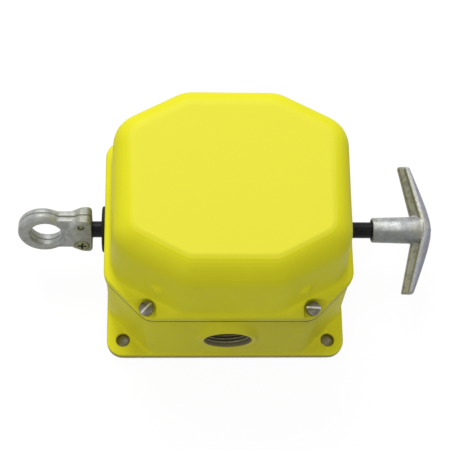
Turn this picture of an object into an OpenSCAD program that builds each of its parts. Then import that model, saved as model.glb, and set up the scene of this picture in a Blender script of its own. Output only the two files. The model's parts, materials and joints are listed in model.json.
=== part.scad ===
// Rope pull switch: a pull on the rope eye trips it, and the T-handle resets it.
// Origin: centre of the flat mounting face. X runs along the pull shaft, from the
// rope eye at -X to the T-handle at +X. -Y is the conduit side and +Z points up.

/* [Base housing] */
// Width and depth of the square mounting flange
flange_w = 139.7; // [125:0.1:160]
// Thickness of the mounting flange
flange_t = 6.4; // [5:0.1:8]
// Radius of the flange corners
flange_r = 9.5; // [4:0.5:12]
// Distance of the mounting holes from the flange edges
hole_in = 9.5; // [8:0.1:11]
// Diameter of the mounting holes
hole_d = 8; // [5.5:0.1:9]
// Height of the joint face that carries the cover
base_h = 50; // [47:0.5:60]
// Distance of the front and rear walls inside the flange edges, at the flange
foot_in = 1; // [0.8:0.1:4]
// Distance from the mounting holes' centres to the foot of the cut corners
foot_gap = 5.2; // [4.8:0.1:6.4]
// Thickness of the base and cover walls
wall = 4.2; // [3.2:0.1:5]
// Thickness of the housing floor
floor_t = 5; // [3.5:0.1:6]
// How far the shaft bosses stand out beyond the flange
boss_out = 0.5; // [0.4:0.1:3]
// Length of the shaft bosses, through the wall and inwards
boss_l = 13; // [11:0.5:16]
// Diameter of the shaft bosses
boss_d = 31; // [27:0.5:35]

/* [Conduit entry] */
// Pitch diameter of the conduit thread
conduit_d = 25.8; // [18:0.1:28]
// Growth of the conduit entry's diameter at its mouth
mouth_step = 2.2; // [1:0.1:3]
// Height of the conduit axis above the mounting face
conduit_z = 28.5; // [25:0.1:31]
// Depth of the threaded conduit entry
conduit_l = 14; // [12:0.5:18]
// Width of the flat ring round the mouth of the conduit entry
conduit_rim = 1.7; // [1:0.1:3]
// Growth of the conduit boss's radius from its face to its root
conduit_flare = 5; // [3:0.1:6]
// Distance of the conduit face inside the flange edge
conduit_in = 2.4; // [1:0.1:4]

/* [Cover] */
// How far the ends of the cover rim stand out beyond the flange
rim_out = 0.3; // [0:0.1:2]
// Distance of the rim's front and rear edges inside the flange edges
rim_in = 7.4; // [6:0.1:9]
// Distance from the mounting holes' centres to the rim's cut corners
rim_gap = 8.2; // [7:0.1:10]
// Overall height from the mounting face to the top of the cover
cover_h = 107.7; // [100:0.1:125]
// Thickness of the cover rim
rim_t = 5.7; // [4:0.1:7]
// Distance that the rim overhangs the base walls
rim_overhang = 0.9; // [0.5:0.1:1.4]
// Width of the ledge between the rim's ends and the cover walls
ledge_x = 3.8; // [3:0.1:5]
// Width of the ledge between the rim's front and rear edges and the cover walls
ledge_y = 2.2; // [1.8:0.1:4]
// Draft angle of the cover's end walls
end_draft = 2.5; // [1:0.1:5]
// Draft angle of the cover's front and rear walls
side_draft = 7.1; // [3:0.1:9]
// Length of the cover's cut corners along the shaft
shoulder_x = 38.5; // [32:0.5:42]
// Length of the cover's cut corners across the shaft
shoulder_y = 20.3; // [16:0.1:24]
// Radius of the rounded edge round the top of the cover
top_r = 12; // [8:0.5:14]
// Height of the hollow between the rim and the cover walls
hollow_h = 4; // [2:0.1:6]
// Radius of the upright corners of the cover walls
soft_r = 20; // [16:0.5:24]
// Radius of the corners of the rim and the base walls
rim_r = 11; // [8:0.5:13]
// Thickness of the cover gasket
gasket_t = 0.8; // [0.5:0.1:2]
// Distance of the cover screws behind the rim's corner points
screw_back = 0.4; // [0:0.1:2]
// Distance of the cover screws from the front and rear of the rim
screw_in = 5.7; // [5:0.1:6.5]
// Diameter of the cover screws
screw_d = 4; // [3:0.1:4.5]
// Diameter of the cover screw heads
screw_head_d = 8; // [7:0.1:9]
// Depth of the pockets that seat the cover screws, below the ledge
pocket_t = 1.5; // [1:0.1:2.5]

/* [Pull shaft] */
// Diameter of the pull shaft
shaft_d = 9.5; // [8:0.1:10]
// Height of the shaft axis above the mounting face
axis_z = 30; // [28:0.5:32]
// Travel of the shaft from reset to tripped
travel = 10; // [7:0.1:12]
// Wall of the flanged shaft bushings
bushing_wall = 2.3; // [1.6:0.1:3]
// Diameter of the rubber seal discs
seal_d = 27; // [22:0.5:28]
// Thickness of the rubber seal discs
seal_t = 2.2; // [1.5:0.1:3]
// Outer diameter of the shaft retaining rings
ring_d = 16; // [14:0.5:18]
// Thickness of the shaft retaining rings
ring_t = 1.2; // [0.8:0.1:1.6]
// Radial gap of the running fits
run_gap = 0.05; // [0.02:0.01:0.1]
// Gap left between faces that seat loosely
seat_gap = 0.2; // [0.1:0.05:0.3]

/* [Rope eye] */
// Outer diameter of the eye ring
eye_od = 29.6; // [27:0.1:32]
// Diameter of the hole that takes the rope
eye_hole_d = 18.5; // [14:0.1:19.5]
// Distance of the rope hole from the centre of the ring, towards the shaft
hole_shift = 1.6; // [0:0.1:2.2]
// Thickness of the eye ring
eye_t = 9.4; // [6:0.1:10]
// Distance from the seal face to the eye block when reset
eye_reach = 5.9; // [4:0.1:10]
// Diameter of the round side of the eye block
block_d = 27.2; // [26:0.1:29]
// Length of the eye block along the shaft
block_l = 16.4; // [15.5:0.1:18]
// Thickness of the eye block over both halves
block_t = 12.6; // [12:0.1:15]
// Distance from the eye block's shaft end to the centre of the ring
eye_centre = 28.3; // [27:0.1:32]
// Tilt of the ring's axis above the horizontal
eye_tilt = 19.5; // [0:0.5:45]
// Distance of the eye screws from the shaft axis
eye_screw_y = 8; // [7.6:0.1:8.8]
// Diameter of the eye screws
eye_screw_d = 3; // [2:0.1:3.2]

/* [T-handle] */
// Diameter of the handle hub at the housing end
hub_d = 14.7; // [13.8:0.1:18]
// Growth of the hub diameter towards the bar
hub_taper = 1.6; // [0:0.1:3]
// Distance from the seal face to the handle hub when reset
hub_reach = 13.6; // [12.4:0.1:20]
// Length of the handle from the hub end to the nose of the bar
handle_l = 35.6; // [32:0.1:42]
// Span of the handle bar from tip to tip
bar_span = 76.5; // [66:0.5:100]
// Height of the bar's outer flange at the middle
bar_h = 14; // [10:0.5:18]
// Thickness of the web behind the flange
web_t = 5.4; // [3.5:0.1:7]
// Sweep of the bar, as rise over run, where it has straightened
sweep = 0.4; // [0.1:0.05:0.5]
// Turn of the handle bar about the shaft
handle_turn = 10.7; // [0:0.1:45]

/* [Mechanism frame] */
// Thickness of the frame sheet
sheet = 3; // [2:0.1:3.5]
// Distance from the shaft axis to the upright plate
plate_y = 18.75; // [18.25:0.05:21]
// Height of the floor bosses that carry the frame
foot_z = 8; // [7:0.1:9]
// Length of the frame along the shaft
frame_l = 90; // [88:1:96]
// Overall height of the frame
frame_h = 82; // [79.5:0.5:88]

/* [Cam and toggle] */
// Width of the cam block across the shaft
cam_w = 30; // [29:0.5:32]
// Height from the shaft axis to the low level of the cam
cam_low = 10; // [8.5:0.1:11]
// Rise of the cam ramp over its run
cam_slope = 0.25; // [0.1:0.01:0.3]
// Length of the toggle fork from its pivot to the shaft axis
fork_l = 20; // [18:0.1:22]
// Distance from the fork's pivot to the spring stud
stud_l = 10; // [8.8:0.1:10.4]
// Distance from the fork's pivot up to the spring post
post_l = 24; // [22:0.1:25]
// Outer diameter of the toggle spring
spring_d = 7.6; // [6:0.1:8]
// Wire diameter of the toggle spring
wire_d = 1.2; // [0.8:0.1:1.4]

/* [Snap switches] */
// Length of a snap switch
switch_l = 49.2; // [47:0.1:52]
// Thickness of a snap switch
switch_t = 17.5; // [16.5:0.1:17.9]
// Height of a snap switch body
switch_h = 24.2; // [22:0.1:26]
// Distance between a snap switch's mounting holes
switch_pitch = 25.4; // [22:0.1:28]
// Diameter of the lever rollers
roller_d = 10; // [9:0.1:10.4]
// Width of the lever rollers
roller_w = 6; // [4.5:0.1:6.4]
// Distance from the lever pivot to the roller
lever_l = 34; // [33:0.1:36]
// Distance from the lever pivot to the plunger
plunger_l = 16; // [13:0.1:18]
// Thickness of the insulating sheets
sheet_gap = 0.5; // [0.3:0.1:0.8]

/* [Hidden] */

$fn = 48;
e = 0.01;

YELLOW = [0.90, 0.88, 0.20];
STEEL = [0.72, 0.73, 0.74];
BRASS = [0.80, 0.66, 0.34];
BLACK = [0.08, 0.08, 0.09];
CAST = [0.62, 0.63, 0.62];

// Housing levels, and octagon outlines [a, b, sx, sy]: half width, half depth, then the
// half lengths of the straight edges along X and along Y
hole_pitch = flange_w - 2 * hole_in;
rim_z = base_h + gasket_t;
ledge_z = rim_z + rim_t;
seat_z = ledge_z - pocket_t;
rim_outline = octagon(flange_w / 2 + rim_out, flange_w / 2 - rim_in, rim_gap);
base_top = inset(rim_outline, rim_overhang);
base_foot = octagon(base_top[0] - 0.7, flange_w / 2 - foot_in, foot_gap);
screw_x = rim_outline[2] - screw_back;
screw_y = rim_outline[1] - screw_in;
conduit_y = flange_w / 2 - conduit_in;
mouth_r = (conduit_d + mouth_step) / 2;
boss_span = flange_w + 2 * boss_out;

// Stations along the shaft, with the shaft reset
boss_x = boss_span / 2;
bushing_in = boss_x - boss_l;
bushing_flange = 1.5;
bushing_r = shaft_d / 2 + bushing_wall;
seal_x = boss_x + seal_t;
shaft_r = shaft_d / 2;
inner_x = bushing_in - bushing_flange;
groove_r = shaft_r - 0.9;
eye_x = -(seal_x + eye_reach);
ring_x = eye_x - eye_centre;
hole_x = ring_x + hole_shift;
neck_x = eye_x - 4.6;
neck_w = 3;
shaft_left = eye_x - 12.4;
hub_x = seal_x + hub_reach;
shaft_right = hub_x + 22;

// Toggle: the fork swings as far to one side of its pivot as to the other
spool_x = -30;
fork_x = spool_x - travel / 2;
fork_z = axis_z + fork_l;
fork_a = atan(travel / 2 / fork_l);
post_z = fork_z + post_l;
stud_x = fork_x + stud_l * sin(fork_a);
stud_z = fork_z - stud_l * cos(fork_a);
spring_a = atan((stud_x - fork_x) / (post_z - stud_z));
spring_len = (post_z - stud_z) / cos(spring_a);
boss_pin_r = 3;
spool_root = shaft_r + 1.45;
spool_rim = spool_root + 2.6;
arm_in = spool_rim + 0.45;
arm_t = 3.5;
spool_half = boss_pin_r + 0.15;
hub_r = 5.5;
pivot_r = 3;
clip_t = 1;
clip_y = -(arm_in + arm_t + seat_gap);
spring_y = -(arm_in + arm_t + 7.7);
hook_r = spring_d / 2 - wire_d / 2;
stud_r = hook_r - wire_d / 2 - seat_gap;

// Cam and levers: the roller's centre is level with the lever pivot at half travel
roller_r = roller_d / 2;
roller_x = -3;
lever_x = roller_x + lever_l;
ramp_x = roller_x - 1;
cam_left = ramp_x - 5;
cam_right = ramp_x + travel + 8;
cam_a = atan(cam_slope);
cam_z = axis_z + cam_low;
cam_bottom = axis_z - 12;
cam_pin_r = 1.5;
roller_z = cam_z + cam_slope * (roller_x - ramp_x) + (roller_r + seat_gap) / cos(cam_a);
lift = cam_slope * travel;
pivot_z = roller_z + lift / 2;
lever_a = asin(lift / 2 / lever_l);
lever_top = roller_r + 1.4;
lever_t = 1.2;
lever_w = roller_w + 3;
pin_r = 1.25;
switch_z = pivot_z + lever_top + lift + 1;
switch_x = lever_x + 4.2 - switch_l / 2;
rear_y = plate_y - sheet_gap - switch_t / 2;
front_y = rear_y - switch_t - sheet_gap;
plunger_x = lever_x - plunger_l;
plunger_r = 2;
plunger_tip = pivot_z + lever_top / cos(lever_a) - plunger_l * tan(lever_a) + seat_gap;
plunger_hole = 10;
mount_z = switch_z + 12;
switch_screw_r = 2;
switch_play = 0.15;
terminal_pitch = 15;
terminal_w = 7;
terminal_l = 9;
terminal_t = 1.2;
terminal_r = 1.5;
terminal_z = switch_z + switch_h - 5;
frame_left = -50;
foot_front = -24;
foot_slot = [22, 18];
ground_in = 18.5;

function unit(v) = v / norm(v);

function mix(p, q, s) = p * (1 - s) + q * s;

// Octagon outline whose cut corners lie at the given distance inside the mounting holes
function octagon(a, b, gap) =
    let (reach = hole_pitch - gap * sqrt(2))
    [a, b, reach - b, reach - a];

// Octagon outline moved inwards by d, its edges staying parallel
function inset(o, d) =
    let (q = atan2(o[1] - o[3], o[0] - o[2]))
    [o[0] - d, o[1] - d, o[2] - d * tan(q / 2), o[3] - d * tan((90 - q) / 2)];

// Corners of an octagon outline, anticlockwise from the front
function corners(o) = [[o[2], -o[1]], [o[0], -o[3]], [o[0], o[3]], [o[2], o[1]],
    [-o[2], o[1]], [-o[0], o[3]], [-o[0], -o[3]], [-o[2], -o[1]]];

// Points that round the corner at q, between its neighbours p and r
function soft_corner(p, q, r, radius, n) =
    let (u = unit(p - q), v = unit(r - q), reach = radius * tan((180 - acos(u * v)) / 2))
    [for (i = [0:n]) q + pow(1 - i / n, 2) * reach * u + pow(i / n, 2) * reach * v];

function soft_outline(o, radius, n = 6) =
    let (c = corners(o))
    [for (k = [0:7]) each soft_corner(c[(k + 7) % 8], c[k], c[(k + 1) % 8], radius, n)];

function at_height(outline, z) = [for (p = outline) [p[0], p[1], z]];

// Outline of the cover's wall at height z, without the rounding of its top edge
function cover_wall(z) =
    let (a = rim_outline[0] - ledge_x - (z - ledge_z) * tan(end_draft),
        b = rim_outline[1] - ledge_y - (z - ledge_z) * tan(side_draft))
    [a, b, a - shoulder_x, b - shoulder_y];

// Outline of the base's wall at height z, grown outwards
function base_wall(z, grow) =
    inset(mix(base_foot, base_top, max(0, z - flange_t) / (base_h - flange_t)), -grow);

// Skin through rings of equal point count
module loft(rings) {
    n = len(rings[0]);
    m = len(rings);
    points = [for (ring = rings) each ring];
    sides = [for (j = [0:m - 2], i = [0:n - 1])
        let (k = (i + 1) % n, lo = j * n, hi = lo + n)
        each [[lo + i, hi + i, hi + k], [lo + i, hi + k, lo + k]]];
    bottom = [for (i = [0:n - 1]) i];
    top = [for (i = [n - 1:-1:0]) (m - 1) * n + i];
    polyhedron(points, concat([bottom], sides, [top]));
}

module along_x(x0, x1, r) {
    translate([x0, 0, axis_z])
        rotate([0, 90, 0])
            cylinder(h = x1 - x0, r = r);
}

module along_y(x, y0, y1, z, r) {
    translate([x, y0, z])
        rotate([-90, 0, 0])
            cylinder(h = y1 - y0, r = r);
}

// Turned form on the shaft axis: profile points are [x, radius]
module turned(profile) {
    translate([0, 0, axis_z])
        rotate([0, 90, 0])
            rotate_extrude()
                polygon([for (p = profile) [p[1], p[0]]]);
}

module square_from(x0, y0, x1, y1) {
    translate([x0, y0])
        square([x1 - x0, y1 - y0]);
}

// Children drawn for the corner at +X and +Y, repeated at all four
module at_corners() {
    for (mx = [0, 1], my = [0, 1])
        mirror([mx, 0, 0])
            mirror([0, my, 0])
                children();
}

module rounded_plate(w, d, h, r) {
    translate([-w / 2, -d / 2 + r, 0])
        cube([w, d - 2 * r, h]);
    translate([-w / 2 + r, -d / 2, 0])
        cube([w - 2 * r, d, h]);
    at_corners()
        translate([w / 2 - r, d / 2 - r, 0])
            cylinder(h = h, r = r);
}

// ---------- housing ----------

screw_hole_depth = 16;
boss_slim_r = screw_in - rim_overhang - 0.7;
boss_fat_r = screw_d / 2 + 2.6;
screw_edge = 8;
screw_play = 0.25;
frame_screw_x = [frame_left + screw_edge, frame_left + frame_l - screw_edge];
frame_screw_y = [foot_front + screw_edge, plate_y - screw_edge];
frame_screw_r = 2;
pad_r = 5;
ground_at = [28, ground_in - rim_outline[1]];
ground_pad_t = 3;
face_skim = 0.3;
blind = 2;

function base_ring(z, grow) = at_height(soft_outline(base_wall(z, grow), rim_r + grow), z);

module base_shell() {
    flare = 0.7;
    difference() {
        loft([base_ring(1, flare), base_ring(flange_t, flare), base_ring(flange_t + 0.5, flare * 0.4),
            base_ring(flange_t + 1.4, 0), base_ring(base_h, 0)]);
        loft([base_ring(floor_t, -wall), base_ring(base_h + 1, -wall)]);
    }
}

// Boss that stands on the floor and carries a frame or ground screw
module floor_pad(x, y, top) {
    translate([x, y, floor_t - 1])
        cylinder(h = top - floor_t + 1, r = pad_r);
}

module conduit_boss() {
    depth = conduit_l / 2;
    face_r = mouth_r + conduit_rim;
    translate([0, -conduit_y, conduit_z])
        rotate([-90, 0, 0]) {
            translate([0, 0, -face_skim])
                cylinder(h = depth + face_skim, r1 = face_r, r2 = face_r + conduit_flare);
            translate([0, 0, depth / 2])
                cylinder(h = conduit_l - depth / 2, r = conduit_d / 2 + wall);
        }
}

module conduit_bore() {
    along_y(0, -conduit_y - wall, conduit_l + 1 - conduit_y, conduit_z, conduit_d / 2);
    along_y(0, -conduit_y - wall, -conduit_y, conduit_z,
        mouth_r + conduit_rim + 2 * face_skim);
    translate([0, -conduit_y - e, conduit_z])
        rotate([-90, 0, 0])
            cylinder(h = mouth_step / 2, r1 = mouth_r, r2 = conduit_d / 2);
}

module base_housing() {
    color(YELLOW)
    difference() {
        union() {
            difference() {
                rounded_plate(flange_w, flange_w, flange_t, flange_r);
                loft([base_ring(floor_t, -wall), base_ring(flange_t + 1, -wall)]);
            }
            base_shell();
            difference() {
                union() {
                    for (side = [-1, 1])
                        along_x(side > 0 ? bushing_in : -boss_x, side > 0 ? boss_x : -bushing_in, boss_d / 2);
                    conduit_boss();
                }
                translate([-flange_w, -flange_w, base_h])
                    cube([2 * flange_w, 2 * flange_w, boss_d]);
            }
            at_corners() {
                translate([screw_x, screw_y, floor_t - 1])
                    cylinder(h = base_h - floor_t + 1, r = boss_slim_r);
                translate([screw_x - boss_fat_r / 3, screw_y - boss_fat_r / 2, floor_t - 1])
                    cylinder(h = base_h - floor_t + 1, r = boss_fat_r);
            }
            for (x = frame_screw_x, y = frame_screw_y)
                floor_pad(x, y, foot_z);
            floor_pad(ground_at[0], ground_at[1], floor_t + ground_pad_t);
        }
        at_corners()
            translate([hole_pitch / 2, hole_pitch / 2, -1])
                cylinder(h = base_h, r = hole_d / 2);
        along_x(-boss_x - 1, boss_x + 1, bushing_r);
        conduit_bore();
        at_corners()
            translate([screw_x, screw_y, base_h - screw_hole_depth])
                cylinder(h = screw_hole_depth + 1, r = screw_d / 2);
        for (x = frame_screw_x, y = frame_screw_y)
            translate([x, y, blind])
                cylinder(h = foot_z, r = frame_screw_r);
        translate([ground_at[0], ground_at[1], blind])
            cylinder(h = floor_t + ground_pad_t, r = frame_screw_r);
    }
}

// Rings that round the top edge: the wall's outline moved in by thick, with edge radius r
function crown(thick, r, steps) =
    let (top_z = cover_h - top_r)
    [for (i = [0:steps])
        let (s = 90 * i / steps, d = thick + r * (1 - cos(s)))
        at_height(soft_outline(inset(cover_wall(top_z), d), soft_r - d), top_z + r * sin(s))];

module cover_outer() {
    edge = 0.8;
    turns = 6;
    rim = soft_outline(rim_outline, rim_r);
    shelf = soft_outline(inset(rim_outline, edge), rim_r - edge);
    foot = soft_outline(cover_wall(ledge_z + hollow_h), soft_r);
    hollow = [for (i = [0:turns])
        let (s = 90 * i / turns)
        at_height(mix(shelf, foot, sin(s)), ledge_z + hollow_h * (1 - cos(s)))];
    loft(concat([at_height(rim, rim_z), at_height(rim, ledge_z - edge)], hollow,
        crown(0, top_r, 8)));
}

module cover_cavity() {
    low = soft_outline(inset(cover_wall(ledge_z), wall), soft_r - wall);
    loft(concat([at_height(low, rim_z - 1), at_height(low, ledge_z)], crown(wall, top_r - wall, 4)));
}

// Flat seat for a cover screw, open to the rim's front edge and cut corner
module screw_pocket() {
    r = screw_head_d / 2 + 1.2;
    out = rim_in + rim_gap;
    high = hollow_h + pocket_t + 2;
    translate([screw_x, screw_y, seat_z]) {
        cylinder(h = high, r = r);
        translate([0, -r, 0])
            cube([out, out, high]);
        translate([-r, 0, 0])
            cube([out, out, high]);
    }
}

module cover() {
    color(YELLOW)
    difference() {
        cover_outer();
        cover_cavity();
        at_corners() {
            translate([screw_x, screw_y, rim_z - 1])
                cylinder(h = rim_t + 2, r = screw_d / 2 + screw_play);
            screw_pocket();
        }
    }
}

module cover_gasket() {
    show = 0.1;
    lap = 2.4;
    color(BLACK)
    difference() {
        translate([0, 0, base_h])
            linear_extrude(gasket_t)
                difference() {
                    polygon(soft_outline(inset(rim_outline, show), rim_r));
                    difference() {
                        polygon(soft_outline(inset(base_top, wall), rim_r - wall));
                        at_corners()
                            translate([screw_x, screw_y])
                                circle(r = screw_d / 2 + lap);
                    }
                }
        at_corners()
            translate([screw_x, screw_y, base_h - 1])
                cylinder(h = gasket_t + 2, r = screw_d / 2 + screw_play);
    }
}

// Slotted fillister screw pointing down, its head resting on height z
module slotted_screw(z, d, head_d, head_h, length, turn) {
    translate([0, 0, z - length])
        cylinder(h = length + e, r = d / 2);
    difference() {
        translate([0, 0, z])
            rotate_extrude()
                polygon([[0, 0], [head_d / 2, 0], [head_d / 2, head_h * 0.7],
                    [head_d / 2 * 0.85, head_h * 0.9], [head_d / 4, head_h], [0, head_h * 1.02]]);
        translate([0, 0, z + head_h])
            rotate([0, 0, turn])
                cube([head_d + 1, head_d * 0.15, head_h], center = true);
    }
}

module cover_screws() {
    color(STEEL)
    for (sx = [-1, 1], sy = [-1, 1])
        translate([sx * screw_x, sy * screw_y, 0])
            slotted_screw(seat_z, screw_d, screw_head_d, 3.6, seat_z - base_h + 11, sx < 0 ? 45 : 3);
}

module bushing() {
    turned([[inner_x, shaft_r + run_gap], [inner_x, bushing_r + 2.5], [bushing_in, bushing_r + 2.5],
        [bushing_in, bushing_r], [boss_x - 0.5, bushing_r], [boss_x - 0.5, shaft_r + run_gap]]);
}

module left_bushing() {
    color(BRASS)
        mirror([1, 0, 0])
            bushing();
}

module right_bushing() {
    color(BRASS)
        bushing();
}

module seal() {
    turned([[boss_x, shaft_r + run_gap], [boss_x, seal_d / 2 - 0.4], [boss_x + 0.5, seal_d / 2],
        [seal_x - 0.6, seal_d / 2], [seal_x, seal_d / 2 - 0.8], [seal_x, shaft_r + 1.2],
        [seal_x - 0.5, shaft_r + run_gap]]);
}

module left_seal() {
    color(BLACK)
        mirror([1, 0, 0])
            seal();
}

module right_seal() {
    color(BLACK)
        seal();
}

// ---------- mechanism frame ----------

module mechanism_frame() {
    bend_r = sheet;
    color(STEEL)
    difference() {
        union() {
            translate([frame_left, foot_front, foot_z])
                cube([frame_l, plate_y - foot_front, sheet]);
            translate([frame_left, plate_y, foot_z + bend_r])
                cube([frame_l, sheet, frame_h - foot_z - bend_r]);
            intersection() {
                translate([frame_left, plate_y + sheet - bend_r, foot_z + bend_r])
                    rotate([0, 90, 0])
                        cylinder(h = frame_l, r = bend_r);
                translate([frame_left, plate_y, foot_z])
                    cube([frame_l, sheet, bend_r]);
            }
        }
        for (x = frame_screw_x, y = frame_screw_y)
            translate([x, y, foot_z - 1])
                cylinder(h = sheet + 2, r = frame_screw_r + screw_play);
        along_y(fork_x, plate_y - 1, plate_y + sheet + 1, fork_z, pivot_r);
        along_y(fork_x, plate_y - 1, plate_y + sheet + 1, post_z, stud_r);
        for (s = [-0.5, 0.5])
            along_y(switch_x + s * switch_pitch, plate_y - 1, plate_y + sheet + 1, mount_z,
                switch_screw_r + switch_play);
        for (x = [frame_left, frame_left + frame_l])
            translate([x, plate_y + sheet / 2, frame_h])
                rotate([0, 45, 0])
                    cube([9, sheet + 2, 9], center = true);
        translate([roller_x - foot_slot[0] / 2, foot_front - 1, foot_z - 1])
            cube([foot_slot[0], foot_slot[1], sheet + 2]);
    }
}

module frame_screws() {
    color(STEEL)
    for (x = frame_screw_x, y = frame_screw_y)
        translate([x, y, 0])
            slotted_screw(foot_z + sheet, 2 * frame_screw_r, 3.5 * frame_screw_r, 2.4, sheet + 4, 20);
}

module ground_screw() {
    color([0.20, 0.50, 0.25])
        translate([ground_at[0], ground_at[1], 0])
            slotted_screw(floor_t + ground_pad_t, 2 * frame_screw_r, 2 * pad_r - 2, 2.6,
                ground_pad_t + 2, 30);
}

// ---------- pull shaft ----------

left_ring_x = -inner_x + travel + seat_gap;
right_ring_x = inner_x - seat_gap - ring_t;

module pull_shaft() {
    slack = 0.1;
    rings = [left_ring_x, right_ring_x];
    color(BLACK)
    difference() {
        turned([[shaft_left, 0], [shaft_left, shaft_r - 0.8], [shaft_left + 0.8, shaft_r],
            [neck_x - neck_w - 0.15, shaft_r], [neck_x - neck_w - 0.15, shaft_r - 1.6],
            [neck_x + 0.15, shaft_r - 1.6], [neck_x + 0.15, shaft_r],
            [rings[0] - slack, shaft_r], [rings[0] - slack, groove_r],
            [rings[0] + ring_t + slack, groove_r], [rings[0] + ring_t + slack, shaft_r],
            [rings[1] - slack, shaft_r], [rings[1] - slack, groove_r],
            [rings[1] + ring_t + slack, groove_r], [rings[1] + ring_t + slack, shaft_r],
            [shaft_right - 0.8, shaft_r], [shaft_right, shaft_r - 0.8], [shaft_right, 0]]);
        for (x = cam_pin_x)
            along_y(x, -shaft_d, shaft_d, axis_z, cam_pin_r);
        translate([spool_x, 0, axis_z - shaft_d])
            cylinder(h = 2 * shaft_d, r = cam_pin_r);
    }
}

module shaft_rings() {
    color(STEEL)
    for (x = [left_ring_x, right_ring_x])
        difference() {
            along_x(x, x + ring_t, ring_d / 2);
            along_x(x - 1, x + ring_t + 1, groove_r);
            translate([x - 1, -groove_r + 0.6, axis_z - ring_d])
                cube([ring_t + 2, 2 * groove_r - 1.2, ring_d]);
        }
}

cam_pin_x = [cam_left + 3 * cam_pin_r, cam_right - 3 * cam_pin_r];

module cam_block() {
    high = cam_z + lift + cam_slope * 3;
    ramp_end = ramp_x + travel + 3;
    color([0.55, 0.56, 0.58])
    difference() {
        translate([0, cam_w / 2, 0])
            rotate([90, 0, 0])
                linear_extrude(cam_w)
                    polygon([[cam_left, cam_bottom + 2], [cam_left + 2, cam_bottom],
                        [cam_right - 2, cam_bottom], [cam_right, cam_bottom + 2],
                        [cam_right, high - 1], [cam_right - 1, high], [ramp_end, high],
                        [ramp_x, cam_z], [cam_left + 1, cam_z], [cam_left, cam_z - 1]]);
        along_x(cam_left - 1, cam_right + 1, shaft_r);
        for (x = cam_pin_x)
            along_y(x, -cam_w, cam_w, axis_z, cam_pin_r);
    }
}

module cam_pins() {
    color(STEEL)
    for (x = cam_pin_x)
        along_y(x, 0.5 - cam_w / 2, cam_w / 2 - 0.5, axis_z, cam_pin_r);
}

module fork_spool() {
    half = spool_half + 2.5;
    color(BRASS)
    difference() {
        turned([[spool_x - half, shaft_r], [spool_x - half, spool_rim - 0.5],
            [spool_x - half + 0.5, spool_rim], [spool_x - spool_half, spool_rim],
            [spool_x - spool_half, spool_root], [spool_x + spool_half, spool_root],
            [spool_x + spool_half, spool_rim], [spool_x + half - 0.5, spool_rim],
            [spool_x + half, spool_rim - 0.5], [spool_x + half, shaft_r]]);
        translate([spool_x, 0, axis_z - spool_rim])
            cylinder(h = 2 * spool_rim, r = cam_pin_r);
    }
}

module spool_pin() {
    color(STEEL)
        translate([spool_x, 0, axis_z - spool_root + 0.3])
            cylinder(h = 2 * spool_root - 0.6, r = cam_pin_r);
}

// ---------- toggle ----------

// Flat link outline: an eye of radius r1 at the origin and one of radius r2, l below
module link(r1, r2, l) {
    q = asin((r1 - r2) / l);
    circle(r = r1);
    translate([0, -l])
        circle(r = r2);
    polygon([[-r1 * cos(q), -r1 * sin(q)], [-r2 * cos(q), -l - r2 * sin(q)],
        [r2 * cos(q), -l - r2 * sin(q)], [r1 * cos(q), -r1 * sin(q)]]);
}

// Children drawn with the fork hanging straight down from the origin
module at_fork() {
    translate([fork_x, 0, fork_z])
        rotate([0, -fork_a, 0])
            children();
}

module toggle_fork() {
    arm_l = fork_l / cos(fork_a);
    hub_back = plate_y - 0.3;
    outer = arm_in + arm_t;
    color([0.60, 0.61, 0.62])
    at_fork()
    difference() {
        union() {
            translate([0, -outer, 0])
                rotate([-90, 0, 0])
                    cylinder(h = outer + hub_back, r = hub_r);
            for (y = [-arm_in, outer])
                translate([0, y, 0])
                    rotate([90, 0, 0])
                        linear_extrude(arm_t)
                            link(hub_r, 4.2, arm_l);
            for (side = [-1, 1])
                translate([0, side > 0 ? spool_root + 0.4 : -arm_in - 1, -arm_l])
                    rotate([-90, 0, 0])
                        cylinder(h = arm_in + 1 - spool_root - 0.4, r = boss_pin_r);
            translate([0, spring_y - 3, -stud_l])
                rotate([-90, 0, 0])
                    cylinder(h = -spring_y - outer + 4, r = stud_r);
            translate([0, spring_y - 3.4, -stud_l])
                rotate([-90, 0, 0])
                    cylinder(h = 1, r = stud_r + 0.9);
        }
        translate([0, -outer - 1, 0])
            rotate([-90, 0, 0])
                cylinder(h = 2 * outer + hub_back, r = pivot_r + run_gap);
    }
}

pin_front = -(arm_in + arm_t + 2.2);

module toggle_pivot() {
    color(STEEL)
    difference() {
        along_y(fork_x, pin_front, plate_y + sheet + 4, fork_z, pivot_r);
        difference() {
            along_y(fork_x, clip_y - clip_t, clip_y, fork_z, pivot_r + 1);
            along_y(fork_x, clip_y - clip_t - 1, clip_y + 1, fork_z, pivot_r - 0.7);
        }
    }
}

module toggle_clip() {
    color(STEEL)
    difference() {
        along_y(fork_x, clip_y - clip_t, clip_y, fork_z, pivot_r + 2);
        along_y(fork_x, clip_y - clip_t - 1, clip_y + 1, fork_z, pivot_r - 0.7);
        translate([fork_x - pivot_r + 1, clip_y - clip_t - 1, fork_z - 10])
            cube([2 * pivot_r - 2, clip_t + 2, 10]);
    }
}

module spring_post() {
    color(STEEL) {
        along_y(fork_x, spring_y - 3, plate_y + sheet + 4, post_z, stud_r);
        along_y(fork_x, spring_y - 3.4, spring_y - 2.4, post_z, stud_r + 0.9);
        along_y(fork_x, plate_y - 2, plate_y, post_z, 4);
    }
}

module nut(y, x, z, r, across) {
    nut_h = 2.6;
    translate([x, y, z])
        rotate([-90, 0, 0])
            difference() {
                cylinder(h = nut_h, r = across / 2 / cos(30), $fn = 6);
                translate([0, 0, -1])
                    cylinder(h = nut_h + 2, r = r);
            }
}

module post_nuts() {
    color(STEEL) {
        nut(plate_y + sheet, fork_x, fork_z, pivot_r, 10);
        nut(plate_y + sheet, fork_x, post_z, stud_r, 8);
    }
}

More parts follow.
